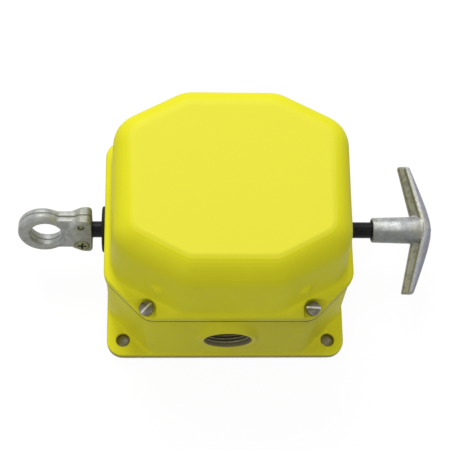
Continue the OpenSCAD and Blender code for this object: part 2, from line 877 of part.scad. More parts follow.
// Extension spring: close coils with a round hook at each end
module toggle_spring() {
    end_z = hook_r + 0.8;
    body = spring_len - 2 * end_z;
    turns = floor(body / wire_d);
    pitch = body / turns;
    color([0.66, 0.67, 0.68])
    translate([fork_x, spring_y, post_z])
        rotate([0, -spring_a, 0]) {
            translate([0, 0, end_z - spring_len])
                rotate_extrude()
                    difference() {
                        union() {
                            translate([hook_r - wire_d / 2, 0])
                                square([wire_d * 0.7, body]);
                            for (i = [0:turns - 1])
                                translate([hook_r, (i + 0.5) * pitch])
                                    circle(r = pitch / 2, $fn = 16);
                        }
                        translate([-1, -1])
                            square([hook_r - wire_d / 2 + 1, body + 2]);
                    }
            spring_hook(end_z);
            translate([0, 0, -spring_len])
                rotate([0, 180, 0])
                    spring_hook(end_z);
        }
}

// Half loop over a stud at the origin, its legs running down into the last coil
module spring_hook(reach) {
    rotate([90, 0, 0])
        rotate_extrude(angle = 180)
            translate([hook_r, 0])
                circle(r = wire_d / 2, $fn = 16);
    for (side = [-1, 1])
        translate([side * hook_r, 0, -reach - wire_d / 2])
            cylinder(h = reach + wire_d / 2, r = wire_d / 2);
}

// ---------- snap switches ----------

module snap_switch(y) {
    left = switch_x - switch_l / 2;
    ear_t = (switch_t - lever_w - 0.6) / 2;
    color([0.16, 0.10, 0.08])
    difference() {
        union() {
            translate([left, y - switch_t / 2, switch_z])
                cube([switch_l, switch_t, switch_h - 4]);
            translate([left + 1.2, y - switch_t / 2 + 0.8, switch_z + 1])
                cube([switch_l - 2.4, switch_t - 1.6, switch_h - 1]);
            for (side = [-1, 1])
                translate([lever_x, y + side * (switch_t - ear_t) / 2 - ear_t / 2, pivot_z])
                    rotate([-90, 0, 0])
                        cylinder(h = ear_t, r = 3);
            for (side = [-1, 1])
                translate([lever_x - 3, y + side * (switch_t - ear_t) / 2 - ear_t / 2, pivot_z])
                    cube([6, ear_t, switch_z - pivot_z + 1]);
        }
        for (s = [-0.5, 0.5])
            along_y(switch_x + s * switch_pitch, y - switch_t, y + switch_t, mount_z,
                switch_screw_r + switch_play);
        along_y(lever_x, y - switch_t, y + switch_t, pivot_z, pin_r);
        translate([plunger_x, y, switch_z - 1])
            cylinder(h = plunger_hole + 1, r = plunger_r + 0.1);
        for (s = [-1, 0, 1])
            translate([switch_x + s * terminal_pitch, y, switch_z + switch_h - 2])
                cube([terminal_w + 2, switch_t - 4, 6], center = true);
    }
}

module front_switch() {
    snap_switch(front_y);
}

module rear_switch() {
    snap_switch(rear_y);
}

module terminals() {
    color(BRASS)
    for (y = [front_y, rear_y], s = [-1, 0, 1])
        translate([switch_x + s * terminal_pitch, y, terminal_z])
            difference() {
                translate([-terminal_w / 2, -terminal_l / 2, 0])
                    cube([terminal_w, terminal_l, terminal_t]);
                translate([0, 0, -1])
                    cylinder(h = terminal_t + 2, r = terminal_r);
            }
}

module terminal_screws() {
    color(STEEL)
    for (y = [front_y, rear_y], s = [-1, 0, 1])
        translate([switch_x + s * terminal_pitch, y, 0])
            slotted_screw(terminal_z + terminal_t, 2 * terminal_r, 4 * terminal_r, 2.2, terminal_t, 15 * s);
}

module insulators() {
    color([0.85, 0.82, 0.70])
    for (y = [rear_y + switch_t / 2, front_y + switch_t / 2])
        difference() {
            translate([switch_x - switch_l / 2, y, switch_z - 0.5])
                cube([switch_l, sheet_gap, switch_h + 2]);
            for (s = [-0.5, 0.5])
                along_y(switch_x + s * switch_pitch, y - 1, y + sheet_gap + 1, mount_z,
                    switch_screw_r + switch_play);
        }
}

module switch_screws() {
    head_y = front_y - switch_t / 2;
    color(STEEL)
    for (s = [-0.5, 0.5])
        translate([switch_x + s * switch_pitch, head_y, mount_z])
            rotate([90, 0, 0])
                slotted_screw(0, 2 * switch_screw_r, 7, 2.4, plate_y + sheet + 4 - head_y, 10);
}

module switch_nuts() {
    color(STEEL)
    for (s = [-0.5, 0.5])
        nut(plate_y + sheet, switch_x + s * switch_pitch, mount_z, switch_screw_r, 7);
}

module plunger(y) {
    top = switch_z + plunger_hole - lift;
    color([0.80, 0.20, 0.16])
        translate([plunger_x, y, 0])
            rotate_extrude()
                polygon([[0, plunger_tip], [1, plunger_tip], [plunger_r, plunger_tip + 0.8],
                    [plunger_r, top], [0, top]]);
}

module front_plunger() {
    plunger(front_y);
}

module rear_plunger() {
    plunger(rear_y);
}

// Roller lever: a pressed channel, drawn level with its pivot at the origin
module lever(y) {
    cheek = 1.2;
    reach = lever_l + 4;
    color(STEEL)
    translate([lever_x, y, pivot_z])
        rotate([0, -lever_a, 0])
            difference() {
                union() {
                    translate([-reach, -lever_w / 2, lever_top - lever_t])
                        cube([reach + 3, lever_w, lever_t]);
                    for (side = [-1, 1]) {
                        translate([0, side * (lever_w - cheek) / 2 - cheek / 2, 0])
                            rotate([-90, 0, 0])
                                cylinder(h = cheek, r = 3);
                        translate([-3, side * (lever_w - cheek) / 2 - cheek / 2, 0])
                            cube([6, cheek, lever_top - 0.1]);
                        translate([-lever_l, side * (lever_w - cheek) / 2 - cheek / 2, 0])
                            rotate([-90, 0, 0])
                                cylinder(h = cheek, r = 3);
                        translate([-lever_l - 3, side * (lever_w - cheek) / 2 - cheek / 2, 0])
                            cube([6, cheek, lever_top - 0.1]);
                    }
                }
                for (x = [0, -lever_l])
                    translate([x, -lever_w, 0])
                        rotate([-90, 0, 0])
                            cylinder(h = 2 * lever_w, r = x == 0 ? pin_r + run_gap : pin_r);
            }
}

module front_lever() {
    lever(front_y);
}

module rear_lever() {
    lever(rear_y);
}

module lever_pins() {
    color(STEEL)
    for (y = [front_y, rear_y])
        along_y(lever_x, y - switch_t / 2 + 0.2, y + switch_t / 2 - 0.2, pivot_z, pin_r);
}

module roller(y) {
    half = roller_w / 2 - 0.1;
    color([0.70, 0.55, 0.35])
    translate([lever_x, y, pivot_z])
        rotate([0, -lever_a, 0])
            translate([-lever_l, 0, 0])
                rotate([90, 0, 0])
                    rotate_extrude()
                        polygon([[pin_r + run_gap, -half], [roller_r - 0.5, -half],
                            [roller_r, -half + 0.5], [roller_r, half - 0.5],
                            [roller_r - 0.5, half], [pin_r + run_gap, half]]);
}

module front_roller() {
    roller(front_y);
}

module rear_roller() {
    roller(rear_y);
}

module roller_pin(y) {
    color(STEEL)
    translate([lever_x, y, pivot_z])
        rotate([0, -lever_a, 0])
            translate([-lever_l, -lever_w / 2, 0])
                rotate([-90, 0, 0])
                    cylinder(h = lever_w, r = pin_r);
}

module front_roller_pin() {
    roller_pin(front_y);
}

module rear_roller_pin() {
    roller_pin(rear_y);
}

// ---------- rope eye ----------

split_gap = 0.1;
eye_screw_x = eye_x - 6;
head_sink = 1.4;
eye_head_r = 3.1;

// Children drawn with the split plane level and the outer face of this half upwards
module at_eye(flip) {
    translate([0, 0, axis_z])
        rotate([90 - eye_tilt, 0, 0])
            rotate([flip ? 180 : 0, 0, 0])
                children();
}

// Plan of the eye block, its corners rounded at the shaft end
module block_plan() {
    round = 3;
    side_y = block_d / 2 - 0.5;
    translate([eye_x - block_l - 1, -side_y])
        square([block_l + 1 - round, 2 * side_y]);
    translate([eye_x - block_l - 1, -side_y + round])
        square([block_l + 1, 2 * (side_y - round)]);
    for (side = [-1, 1])
        translate([eye_x - round, side * (side_y - round)])
            circle(r = round);
}

module eye_half() {
    half = eye_t / 2;
    edge = 2.6;
    lip = 0.8;
    neck_h = block_d - 4;
    neck_step = 0.5;
    neck_back = 6;
    rim = eye_od / 2;
    hole = eye_hole_d / 2;
    top = block_t / 2;
    difference() {
        union() {
            translate([ring_x, 0, 0])
                rotate_extrude() {
                    square_from(0, 0, rim, half - edge);
                    square_from(0, 0, rim - edge, half);
                    translate([rim - edge, half - edge])
                        circle(r = edge, $fn = 32);
                }
            translate([ring_x, -neck_h / 2, 0])
                cube([eye_centre - neck_back, neck_h, half - neck_step]);
            intersection() {
                translate([eye_x - block_l + block_d / 2, 0, 0])
                    rotate_extrude()
                        polygon([[0, 0], [block_d / 2, 0], [block_d / 2, top - 1.4],
                            [block_d / 2 - 0.4, top - 0.5], [block_d / 2 - 1.2, top], [0, top]]);
                linear_extrude(top)
                    block_plan();
            }
        }
        translate([hole_x, 0, -1])
            cylinder(h = block_t, r = hole);
        translate([hole_x, 0, half - lip])
            cylinder(h = lip + e, r1 = hole, r2 = hole + lip);
        translate([ring_x - rim - 1, -block_d, -rim])
            cube([rim + eye_centre + 2, 2 * block_d, rim + split_gap]);
        rotate([0, 90, 0])
            rotate_extrude()
                polygon([[0, shaft_left - 0.6], [shaft_r + run_gap, shaft_left - 0.6],
                    [shaft_r + run_gap, neck_x - neck_w], [shaft_r - 1.5, neck_x - neck_w],
                    [shaft_r - 1.5, neck_x], [shaft_r + run_gap, neck_x],
                    [shaft_r + run_gap, eye_x + 1], [0, eye_x + 1]]);
        for (y = [-eye_screw_y, eye_screw_y])
            translate([eye_screw_x, y, -1])
                cylinder(h = block_t, r = eye_screw_d / 2);
        translate([eye_screw_x, -eye_screw_y, top - head_sink])
            cylinder(h = 4, r = eye_head_r + 0.2);
    }
}

module eye_front_half() {
    color(CAST)
        at_eye(false)
            eye_half();
}

module eye_rear_half() {
    color(CAST)
        at_eye(true)
            eye_half();
}

module eye_screws() {
    top = block_t / 2 - head_sink;
    color(STEEL)
    for (flip = [false, true])
        at_eye(flip)
            translate([eye_screw_x, -eye_screw_y, 0]) {
                translate([0, 0, -top])
                    cylinder(h = 2 * top, r = eye_screw_d / 2);
                translate([0, 0, top])
                    rotate_extrude()
                        polygon([[0, 0], [eye_head_r, 0], [eye_head_r, 0.8],
                            [eye_head_r * 0.6, 1.7], [0, 1.9]]);
            }
}

// ---------- T-handle ----------

nose_x = hub_x + handle_l;
bar_bend = 10;
hub_wall = 1.4;
hub_recess = 4.5;

// Outer face of the bar at distance t from the middle
function bar_outer(t) = nose_x - sweep * (sqrt(t * t + bar_bend * bar_bend) - bar_bend);
function bar_inner(t) = nose_x - 10.5 - (sweep * 0.55) * abs(t);
function bar_groove(t) = nose_x - 5.3 - (sweep * 0.65) * abs(t);
function bar_half(t) = bar_h / 2 * (1 - 0.35 * abs(t) / (bar_span / 2));

// Flange section at t: a crowned outer face and a flat inner one
function flange_section(t, s) =
    let (h = bar_half(t) * s, out = bar_outer(t), back = bar_groove(t), depth = (out - back) * 0.6)
    concat([for (i = [0:8])
        let (a = -90 + i * 22.5)
        [out - depth + depth * cos(a) - (1 - s) * 1.5, t, h * sin(a)]],
        [[back + (1 - s), t, h], [back + (1 - s), t, -h]]);

function web_section(t, s) =
    let (h = web_t / 2 * s, front = bar_inner(t), back = bar_groove(t) + 1.5)
    [[front + 1 - s, t, -h + 0.8], [front + 0.8 + 1 - s, t, -h], [back, t, -h],
        [back, t, h], [front + 0.8 + 1 - s, t, h], [front + 1 - s, t, h - 0.8]];

bar_stations = [for (i = [8:-1:-8]) i / 8 * (bar_span / 2 - 1)];

module t_handle() {
    tip = bar_span / 2;
    stations = concat([[tip, 0.7]], [for (t = bar_stations) [t, 1]], [[-tip, 0.7]]);
    hub_end = nose_x - 6;
    color(CAST)
    difference() {
        union() {
            turned([[hub_x, 0], [hub_x, hub_d / 2 - 0.5], [hub_x + 0.5, hub_d / 2],
                [hub_end, (hub_d + hub_taper) / 2], [hub_end, 0]]);
            translate([0, 0, axis_z])
                rotate([handle_turn, 0, 0]) {
                    loft([for (p = stations) flange_section(p[0], p[1])]);
                    loft([for (p = stations) web_section(p[0], p[1])]);
                }
        }
        along_x(hub_x - 1, shaft_right + 0.4, shaft_r + run_gap);
        along_x(hub_x - 1, hub_x + hub_recess, hub_d / 2 - hub_wall);
        translate([hub_x + 9, 0, axis_z - hub_d])
            cylinder(h = hub_d, r = 2);
    }
}

module handle_screw() {
    color(BLACK)
    difference() {
        translate([hub_x + 9, 0, axis_z - hub_d / 2])
            cylinder(h = hub_d / 2 - shaft_r, r = 2);
        translate([hub_x + 9, 0, axis_z - hub_d / 2 - 1])
            cylinder(h = 2.5, r = 1.1, $fn = 6);
    }
}

base_housing();
cover();
cover_gasket();
cover_screws();
left_bushing();
right_bushing();
left_seal();
right_seal();
mechanism_frame();
frame_screws();
ground_screw();
pull_shaft();
shaft_rings();
cam_block();
cam_pins();
fork_spool();
spool_pin();
toggle_fork();
toggle_pivot();
toggle_clip();
spring_post();
post_nuts();
toggle_spring();
front_switch();
rear_switch();
insulators();
switch_screws();
switch_nuts();
front_plunger();
rear_plunger();
front_lever();
rear_lever();
lever_pins();
front_roller();
rear_roller();
front_roller_pin();
rear_roller_pin();
terminals();
terminal_screws();
eye_front_half();
eye_rear_half();
eye_screws();
t_handle();
handle_screw();
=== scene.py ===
"""The looks of the rope pull switch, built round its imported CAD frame. Lengths are in metres."""

import json
import math

import bmesh
import bpy
import numpy
from mathutils import Matrix, Vector
from mathutils.bvhtree import BVHTree


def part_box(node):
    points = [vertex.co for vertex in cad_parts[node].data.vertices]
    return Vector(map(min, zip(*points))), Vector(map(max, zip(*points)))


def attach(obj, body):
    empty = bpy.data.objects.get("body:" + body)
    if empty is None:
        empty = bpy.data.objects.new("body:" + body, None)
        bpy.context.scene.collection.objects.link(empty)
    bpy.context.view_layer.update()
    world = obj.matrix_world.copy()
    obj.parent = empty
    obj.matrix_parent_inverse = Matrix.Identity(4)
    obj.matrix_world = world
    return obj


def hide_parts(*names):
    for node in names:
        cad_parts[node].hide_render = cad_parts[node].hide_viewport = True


MM = 0.001
RIGHT = Vector((1, 0, 0))
UP = Vector((0, 0, 1))
SQUARE = ((-1, -1), (1, -1), (1, 1), (-1, 1))

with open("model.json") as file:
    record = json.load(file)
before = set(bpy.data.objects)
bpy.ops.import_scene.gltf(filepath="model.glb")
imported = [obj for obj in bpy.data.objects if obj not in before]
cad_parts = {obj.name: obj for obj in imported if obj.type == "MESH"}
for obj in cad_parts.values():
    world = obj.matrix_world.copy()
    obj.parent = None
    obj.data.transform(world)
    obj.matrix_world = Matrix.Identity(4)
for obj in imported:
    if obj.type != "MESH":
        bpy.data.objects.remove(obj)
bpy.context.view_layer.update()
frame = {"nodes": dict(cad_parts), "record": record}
nodes = frame["nodes"]
record = frame["record"]
mounts = {m["name"]: m for m in record["mounts"]}
slot_of = {p["node"]: p["material_slot"] for p in record["subparts"]}
body_of = {n: b for b, names in record["behaviour"]["bodies"].items() for n in names}
scene = bpy.context.scene

# Heights of the cover's top and rim and of the gasket under it
COVER_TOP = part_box("cover")[1][2]
COVER_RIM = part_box("cover")[0][2]
GASKET_LOW, GASKET_HIGH = (corner[2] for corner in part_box("cover_gasket"))

# The centre and axis of the eye's hole, the way across the eye that looks down, and its end at the shaft
EYE_CENTRE = Vector(mounts["rope_eye"]["pos_m"])
EYE_AXIS = Vector(mounts["rope_eye"]["axis"])
EYE_DOWN = RIGHT.cross(EYE_AXIS)
EYE_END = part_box("eye_front_half")[1][0]

# The handle's bar, which sweeps back from its nose on both sides of the shaft's axis
SHAFT_Z = EYE_CENTRE.z
HANDLE_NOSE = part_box("t_handle")[1][0]
HANDLE_SWEEP = 0.4


def srgb(red, green, blue):
    """Linear colour with alpha of an sRGB colour given from 0 to 255."""
    def linear(v):
        v /= 255
        return v / 12.92 if v <= 0.04045 else ((v + 0.055) / 1.055) ** 2.4
    return (linear(red), linear(green), linear(blue), 1)


# ---------- camera, floor and light ----------

# Where the camera stands, turned about the target, and how much it sees
AZIMUTH, ELEVATION, ROLL = (math.radians(a) for a in (-8.36, 68.65, 8.01))
DISTANCE = 0.68668
TARGET = Vector((-0.0023, -0.0086, 0.060))
LENS = 97.44

# The room: its plain light, how white the floor glows, the floor's own grey, and half its width
WHITE = (1, 1, 1, 1)
AMBIENT = 0.55
FLOOR_GLOW = 0.94
FLOOR_GREY = (0.08, 0.08, 0.08, 1)
FLOOR_HALF = 4

# The floor deep in a mounting hole: the colour of the shade painted there, how far walls are felt, and how
# open it is deep and clear
HOLE_SHADE_COLOUR = srgb(78, 70, 10)
HOLE_REACH = 12 * MM
HOLE_DEEP, HOLE_OPEN = 0.34, 0.50

# The point that both lamps face
LAMP_AIM = Vector((0, 0, 0.05))


def plug(tree, socket, source):
    """Links an output to a socket, or sets the socket to a plain value."""
    if hasattr(source, "is_output"):
        tree.links.new(source, socket)
    else:
        socket.default_value = source


def add_node(tree, kind, links=(), **settings):
    """A new shader node. links gives its sockets' sources, each an output or a plain value."""
    node = tree.nodes.new("ShaderNode" + kind)
    for key, value in settings.items():
        setattr(node, key, value)
    for socket, source in dict(links).items():
        plug(tree, node.inputs[socket], source)
    return node


def add_camera():
    back = Vector((math.sin(AZIMUTH) * math.cos(ELEVATION), -math.cos(AZIMUTH) * math.cos(ELEVATION),
                   math.sin(ELEVATION)))
    right = Vector((math.cos(AZIMUTH), math.sin(AZIMUTH), 0))
    up = back.cross(right)
    cam_x = math.cos(ROLL) * right + math.sin(ROLL) * up
    cam_y = back.cross(cam_x)
    data = bpy.data.cameras.new("camera")
    data.lens = LENS
    camera = bpy.data.objects.new("camera", data)
    camera.matrix_world = Matrix.Translation(TARGET + back * DISTANCE) @ Matrix(
        (cam_x, cam_y, back)).transposed().to_4x4()
    scene.collection.objects.link(camera)
    scene.camera = camera


def seen_directly(tree):
    """1 for camera, glossy and transmission rays, and 0 for the rays that light the object."""
    path = add_node(tree, "LightPath").outputs
    total = path["Is Camera Ray"]
    for name in ("Is Glossy Ray", "Is Transmission Ray"):
        total = add_node(tree, "Math", {0: total, 1: path[name]}, operation="MAXIMUM").outputs[0]
    return total


def add_world():
    world = bpy.data.worlds.new("white_room")
    world.use_nodes = True
    scene.world = world
    tree = world.node_tree
    strength = add_node(tree, "MapRange", {"Value": seen_directly(tree), "To Min": AMBIENT, "To Max": 1})
    background = tree.nodes["Background"]
    background.inputs["Color"].default_value = WHITE
    tree.links.new(strength.outputs["Result"], background.inputs["Strength"])


def add_floor():
    """A floor that glows white where it is seen, with a dull yellow shade painted where it lies deep in a
    mounting hole.
    """
    mesh = bpy.data.meshes.new("floor")
    mesh.from_pydata([(FLOOR_HALF * sx, FLOOR_HALF * sy, 0) for sx, sy in SQUARE], [], [(0, 1, 2, 3)])
    floor = bpy.data.objects.new("floor", mesh)
    scene.collection.objects.link(floor)
    mat = bpy.data.materials.new("pale_floor")
    mat.use_nodes = True
    tree = mat.node_tree
    tree.nodes.remove(tree.nodes["Principled BSDF"])
    matt = add_node(tree, "BsdfDiffuse", {"Color": FLOOR_GREY}).outputs[0]
    openness = add_node(tree, "AmbientOcclusion", {"Distance": HOLE_REACH}).outputs["AO"]
    clear = add_node(tree, "MapRange", {"Value": openness, "From Min": HOLE_DEEP, "From Max": HOLE_OPEN})
    tint = add_node(tree, "Mix", data_type="RGBA")
    for number, source in ((0, clear.outputs["Result"]), (6, HOLE_SHADE_COLOUR), (7, WHITE)):
        plug(tree, tint.inputs[number], source)
    glow = add_node(tree, "Emission", {"Color": tint.outputs[2], "Strength": FLOOR_GLOW}).outputs[0]
    both = add_node(tree, "AddShader", {0: matt, 1: glow}).outputs[0]
    shown = add_node(tree, "MixShader", {0: seen_directly(tree), 1: matt, 2: both}).outputs[0]
    tree.links.new(shown, tree.nodes["Material Output"].inputs["Surface"])
    mesh.materials.append(mat)


def add_lamp(name, place, size, watts):
    data = bpy.data.lights.new(name, "AREA")
    data.shape = "SQUARE"
    data.size = size
    data.energy = watts
    lamp = bpy.data.objects.new(name, data)
    lamp.location = place
    lamp.rotation_euler = (LAMP_AIM - Vector(place)).to_track_quat("-Z", "Y").to_euler()
    scene.collection.objects.link(lamp)


scene.view_settings.view_transform = "Standard"
add_camera()
add_world()
add_floor()
add_lamp("key", (-0.50, 2.17, 2.22), 1.6, 62)
add_lamp("fill", (-0.95, -2.25, 0.35), 1.5, 11)


# ---------- materials ----------

THREAD_GREY = srgb(116, 110, 82)


class Surface:
    """One procedural material. Patterns lie in the object's own space, whose unit is the metre."""

    def __init__(self, name):
        self.mat = bpy.data.materials.new(name)
        self.mat.use_nodes = True
        self.tree = self.mat.node_tree
        self.shader = self.tree.nodes["Principled BSDF"]
        coordinates = self.node("TexCoord").outputs
        self.place, self.normal = coordinates["Object"], coordinates["Normal"]
        self.x, self.y, self.z = self.node("SeparateXYZ", {0: self.place}).outputs
        self.height = None

    def node(self, kind, links=(), **settings):
        """A node in this material's tree."""
        return add_node(self.tree, kind, links, **settings)

    def noise(self, size, detail=3, rough=0.55):
        """Noise whose lumps are about size metres across."""
        return self.node("TexNoise", {"Vector": self.place, "Scale": 1 / size, "Detail": detail,
                                      "Roughness": rough}).outputs["Fac"]

    def ramp(self, value, low, high, to_low=0.0, to_high=1.0):
        """value drawn from between low and high to between to_low and to_high, and held there beyond them."""
        return self.node("MapRange", {"Value": value, "From Min": low, "From Max": high, "To Min": to_low,
                                      "To Max": to_high}).outputs["Result"]

    def math(self, operation, a, b=0):
        return self.node("Math", {0: a, 1: b}, operation=operation).outputs[0]

    def product(self, *factors):
        total = factors[0]
        for factor in factors[1:]:
            total = self.math("MULTIPLY", total, factor)
        return total

    def mix(self, factor, a, b):
        n = self.node("Mix", data_type="RGBA")
        for number, source in ((0, factor), (6, a), (7, b)):
            plug(self.tree, n.inputs[number], source)
        return n.outputs[2]

    def edges(self, low=0.52, high=0.62):
        """1 on worn outer edges, broken up by noise."""
        sharp = self.ramp(self.node("NewGeometry").outputs["Pointiness"], low, high)
        return self.product(sharp, self.ramp(self.noise(1.4 * MM), 0.35, 0.65))

    def hollows(self, low=0.49, high=0.42):
        """1 in inner corners, where dirt gathers and shade is painted."""
        return self.ramp(self.node("NewGeometry").outputs["Pointiness"], low, high)

    def facing(self, way, low, high, most):
        """Rises to most where the surface faces the given way."""
        turned = self.node("VectorMath", {0: self.normal, 1: tuple(way)}, operation="DOT_PRODUCT")
        return self.ramp(turned.outputs["Value"], low, high, 0, most)

    def inside_bore(self, mount, grow):
        """1 within grow of a mount's bore, which runs along Y, and 0 elsewhere."""
        centre = tuple(mount["pos_m"])
        offset = self.node("VectorMath", {0: self.place, 1: centre}, operation="SUBTRACT").outputs[0]
        flat = self.node("VectorMath", {0: offset, 1: (1, 0, 1)}, operation="MULTIPLY").outputs[0]
        reach = self.node("VectorMath", {0: flat}, operation="LENGTH").outputs["Value"]
        depth = self.math("ABSOLUTE", self.node("SeparateXYZ", {0: offset}).outputs["Y"])
        dims = mount["dims"]
        near = self.math("LESS_THAN", reach, dims["r_mm"] * MM + grow)
        along = self.math("LESS_THAN", depth, dims["length_mm"] / 2 * MM + 2 * grow)
        return self.product(near, along)

    def raise_by(self, value, depth):
        """Adds a height pattern, depth metres from its lowest to its highest."""
        step = self.product(value, depth)
        self.height = step if self.height is None else self.math("ADD", self.height, step)

    def set(self, **sockets):
        for key, source in sockets.items():
            plug(self.tree, self.shader.inputs[key.replace("_", " ")], source)

    def done(self):
        if self.height is not None:
            bump = self.node("Bump", {"Height": self.height, "Strength": 1.0, "Distance": 1.0})
            self.tree.links.new(bump.outputs["Normal"], self.shader.inputs["Normal"])
        return self.mat


def scaled(colour, factor):
    """A colour made darker or lighter, and no brighter than white."""
    return tuple(min(1, factor * c) for c in colour[:3]) + (1,)


def seam_shade_and_grime(s):
    """Painted shade and grime above and below the gasket, heaviest on the middle and right of the front wall.
    """
    gap = s.product(s.ramp(s.z, GASKET_LOW - 1.7 * MM, GASKET_LOW - 0.9 * MM),
                    s.math("LESS_THAN", s.z, GASKET_HIGH + 0.5 * MM))
    side = s.product(s.ramp(s.x, -46 * MM, -36 * MM, 0.25, 1), s.ramp(s.y, -40 * MM, -50 * MM, 0.1, 1))
    return s.product(gap, side, s.ramp(s.noise(5 * MM), 0.3, 0.6, 0.5, 0.95))


def front_painted_shade(s):
    """Painted shade low on the front wall, from just above the cover's rim down, stronger to the right."""
    wall = s.product(s.ramp(s.y, -40 * MM, -52 * MM), s.ramp(s.math("ABSOLUTE", s.x), 66 * MM, 44 * MM))
    return s.product(wall, s.ramp(s.x, -40 * MM, 20 * MM, 0.12, 0.3),
                     s.ramp(s.z, COVER_RIM + 8 * MM, COVER_RIM + 4 * MM))


def right_painted_shade(s):
    """Painted shade round the cover's rim, stronger towards the right front corner."""
    corner = s.product(s.ramp(s.x, 5 * MM, 60 * MM), s.ramp(s.y, -25 * MM, -60 * MM, 0, 0.3))
    return s.product(corner, s.ramp(s.z, COVER_RIM - 12 * MM, COVER_RIM - 2 * MM),
                     s.ramp(s.z, 62 * MM, 40 * MM))


def powder_coat():
    """Yellow coat with a slight orange peel, and the places where its tone differs.

    They are laid in this order: cloudy patches low on the walls, painted shade on the foot, painted shade on
    the front and at the right, a paler flat top that is a painted sheen, painted shade in the hollows,
    brighter edges, painted shade and grime in the seam, and bare metal in the conduit thread.
    """
    s = Surface("yellow_powder_coat")
    colour = s.mix(s.ramp(s.noise(28 * MM), 0.3, 0.7), srgb(230, 225, 39), srgb(235, 231, 43))
    patches = s.product(s.ramp(s.z, 60 * MM, 40 * MM), s.ramp(s.noise(22 * MM), 0.5, 0.7, 0, 0.3))
    # Painted shade on the foot, below the flange's top, where it lies near the floor
    foot = s.ramp(s.z, 6.2 * MM, 3.8 * MM, 0, 0.9)
    # A painted sheen: the flat top is paler than the rounding below it
    flat_top_sheen = s.ramp(s.z, COVER_TOP - 1.1 * MM, COVER_TOP - 0.1 * MM)
    # The hollows take painted shade, a darker yellow
    for mask, tone in ((patches, srgb(214, 196, 36)), (foot, srgb(118, 108, 44)),
                       (front_painted_shade(s), srgb(140, 128, 70)), (right_painted_shade(s), srgb(110, 104, 66)),
                       (flat_top_sheen, srgb(236, 231, 66)), (s.product(s.hollows(), 0.5), srgb(180, 170, 16)),
                       (s.product(s.edges(), 0.3), srgb(240, 236, 80)), (seam_shade_and_grime(s), srgb(48, 42, 6)),
                       (s.inside_bore(mounts["conduit_entry"], 0.9 * MM), THREAD_GREY)):
        colour = s.mix(mask, colour, tone)
    s.set(Base_Color=colour, Roughness=s.ramp(s.noise(3 * MM), 0.3, 0.7, 0.42, 0.54),
          Specular_IOR_Level=0.12, Specular_Tint=(1, 0.98, 0.5, 1))
    s.raise_by(s.noise(1.1 * MM, 2), 0.020 * MM)
    s.raise_by(s.noise(9 * MM, 2), 0.05 * MM)
    return s.done()


def rubber(name, colour, pale, worn, painted=None, gloss=0.15):
    """Black rubber. painted is the colour of the coat that bridges the gasket in patches on the left."""
    s = Surface(name)
    tone = s.mix(s.ramp(s.noise(4 * MM), 0.35, 0.7), colour, pale)
    if painted:
        patches = s.product(s.ramp(s.x, -44 * MM, -40 * MM, 1, 0), s.ramp(s.noise(7 * MM), 0.25, 0.45))
        tone = s.mix(patches, tone, painted)
    s.set(Base_Color=s.mix(s.edges(), tone, worn), Roughness=s.ramp(s.noise(0.9 * MM), 0.3, 0.7, 0.5, 0.72),
          Specular_IOR_Level=gloss)
    s.raise_by(s.noise(0.35 * MM), 0.02 * MM)
    return s.done()


def metal(name, colour, dark, rough=(0.28, 0.42), metallic=0.8, worn=None, gloss=0.5):
    """Machined or plated metal: fine scratches, cloudy tone, painted shade in the hollows and bright edges.
    """
    s = Surface(name)
    tone = s.mix(s.ramp(s.noise(2.6 * MM), 0.3, 0.7), dark, colour)
    tone = s.mix(s.product(s.hollows(), 0.7), tone, scaled(dark, 0.3))
    s.set(Base_Color=s.mix(s.edges(), tone, worn or scaled(colour, 1.25)), Metallic=metallic,
          Roughness=s.ramp(s.noise(0.8 * MM), 0.3, 0.7, *rough), Specular_IOR_Level=gloss)
    s.raise_by(s.noise(0.25 * MM), 0.01 * MM)
    return s.done()


def casting_metal(name, colour, dark, stain, pit, pitted, grain=0.05, rough=(0.30, 0.44), regions=()):
    """Cast metal: a satin skin, a few small pits, a stain and painted shade in the hollows and bright rubbed
    edges.

    pit is the pits' spacing, and a higher pitted leaves more of them. regions are pairs of a function that
    gives a mask and the colour of the casting there.
    """
    s = Surface(name)
    cells = s.node("TexVoronoi", {"Vector": s.place, "Scale": 1 / pit, "Randomness": 1.0}).outputs["Distance"]
    pits = s.math("MAXIMUM", s.ramp(cells, 0.05, 0.22), s.ramp(s.noise(4 * MM), pitted, pitted + 0.05))
    tone = s.mix(s.ramp(s.noise(3.5 * MM), 0.3, 0.7), dark, colour)
    for mask, shade in regions:
        tone = s.mix(mask(s), tone, shade)
    tone = s.mix(s.ramp(s.noise(1.3 * MM), 0.42, 0.68, 0, 0.45), tone, dark)
    tone = s.mix(s.ramp(s.noise(7 * MM), 0.5, 0.7, 0, 0.3), tone, stain)
    # A stain and painted shade in the hollows
    tone = s.mix(s.product(s.hollows(0.495, 0.44), 0.85), tone, scaled(stain, 0.35))
    tone = s.mix(pits, scaled(dark, 0.35), tone)
    tone = s.mix(s.product(s.edges(), 0.7), tone, scaled(colour, 1.25))
    s.set(Base_Color=tone, Metallic=0.15, Roughness=s.ramp(s.noise(1.5 * MM), 0.3, 0.7, *rough))
    s.raise_by(pits, 0.08 * MM)
    s.raise_by(s.noise(0.9 * MM, 2), grain * MM)
    return s.done()


def bar_places(s):
    """How far a point of the handle lies from the shaft's axis, and its place between web and flange."""
    off = s.math("SUBTRACT", s.z, SHAFT_Z)
    reach = s.math("SQRT", s.math("ADD", s.product(s.y, s.y), s.product(off, off)))
    return reach, s.math("ADD", s.x, s.product(reach, 0.65 * HANDLE_SWEEP))


def handle_web(s):
    """1 on the inner web of the handle's bar, 0 on its outer flange and the hub."""
    reach, groove = bar_places(s)
    inner = s.ramp(groove, HANDLE_NOSE - 4.6 * MM, HANDLE_NOSE - 5.6 * MM)
    return s.product(inner, s.ramp(reach, 8.4 * MM, 9.4 * MM, 0, 0.8))


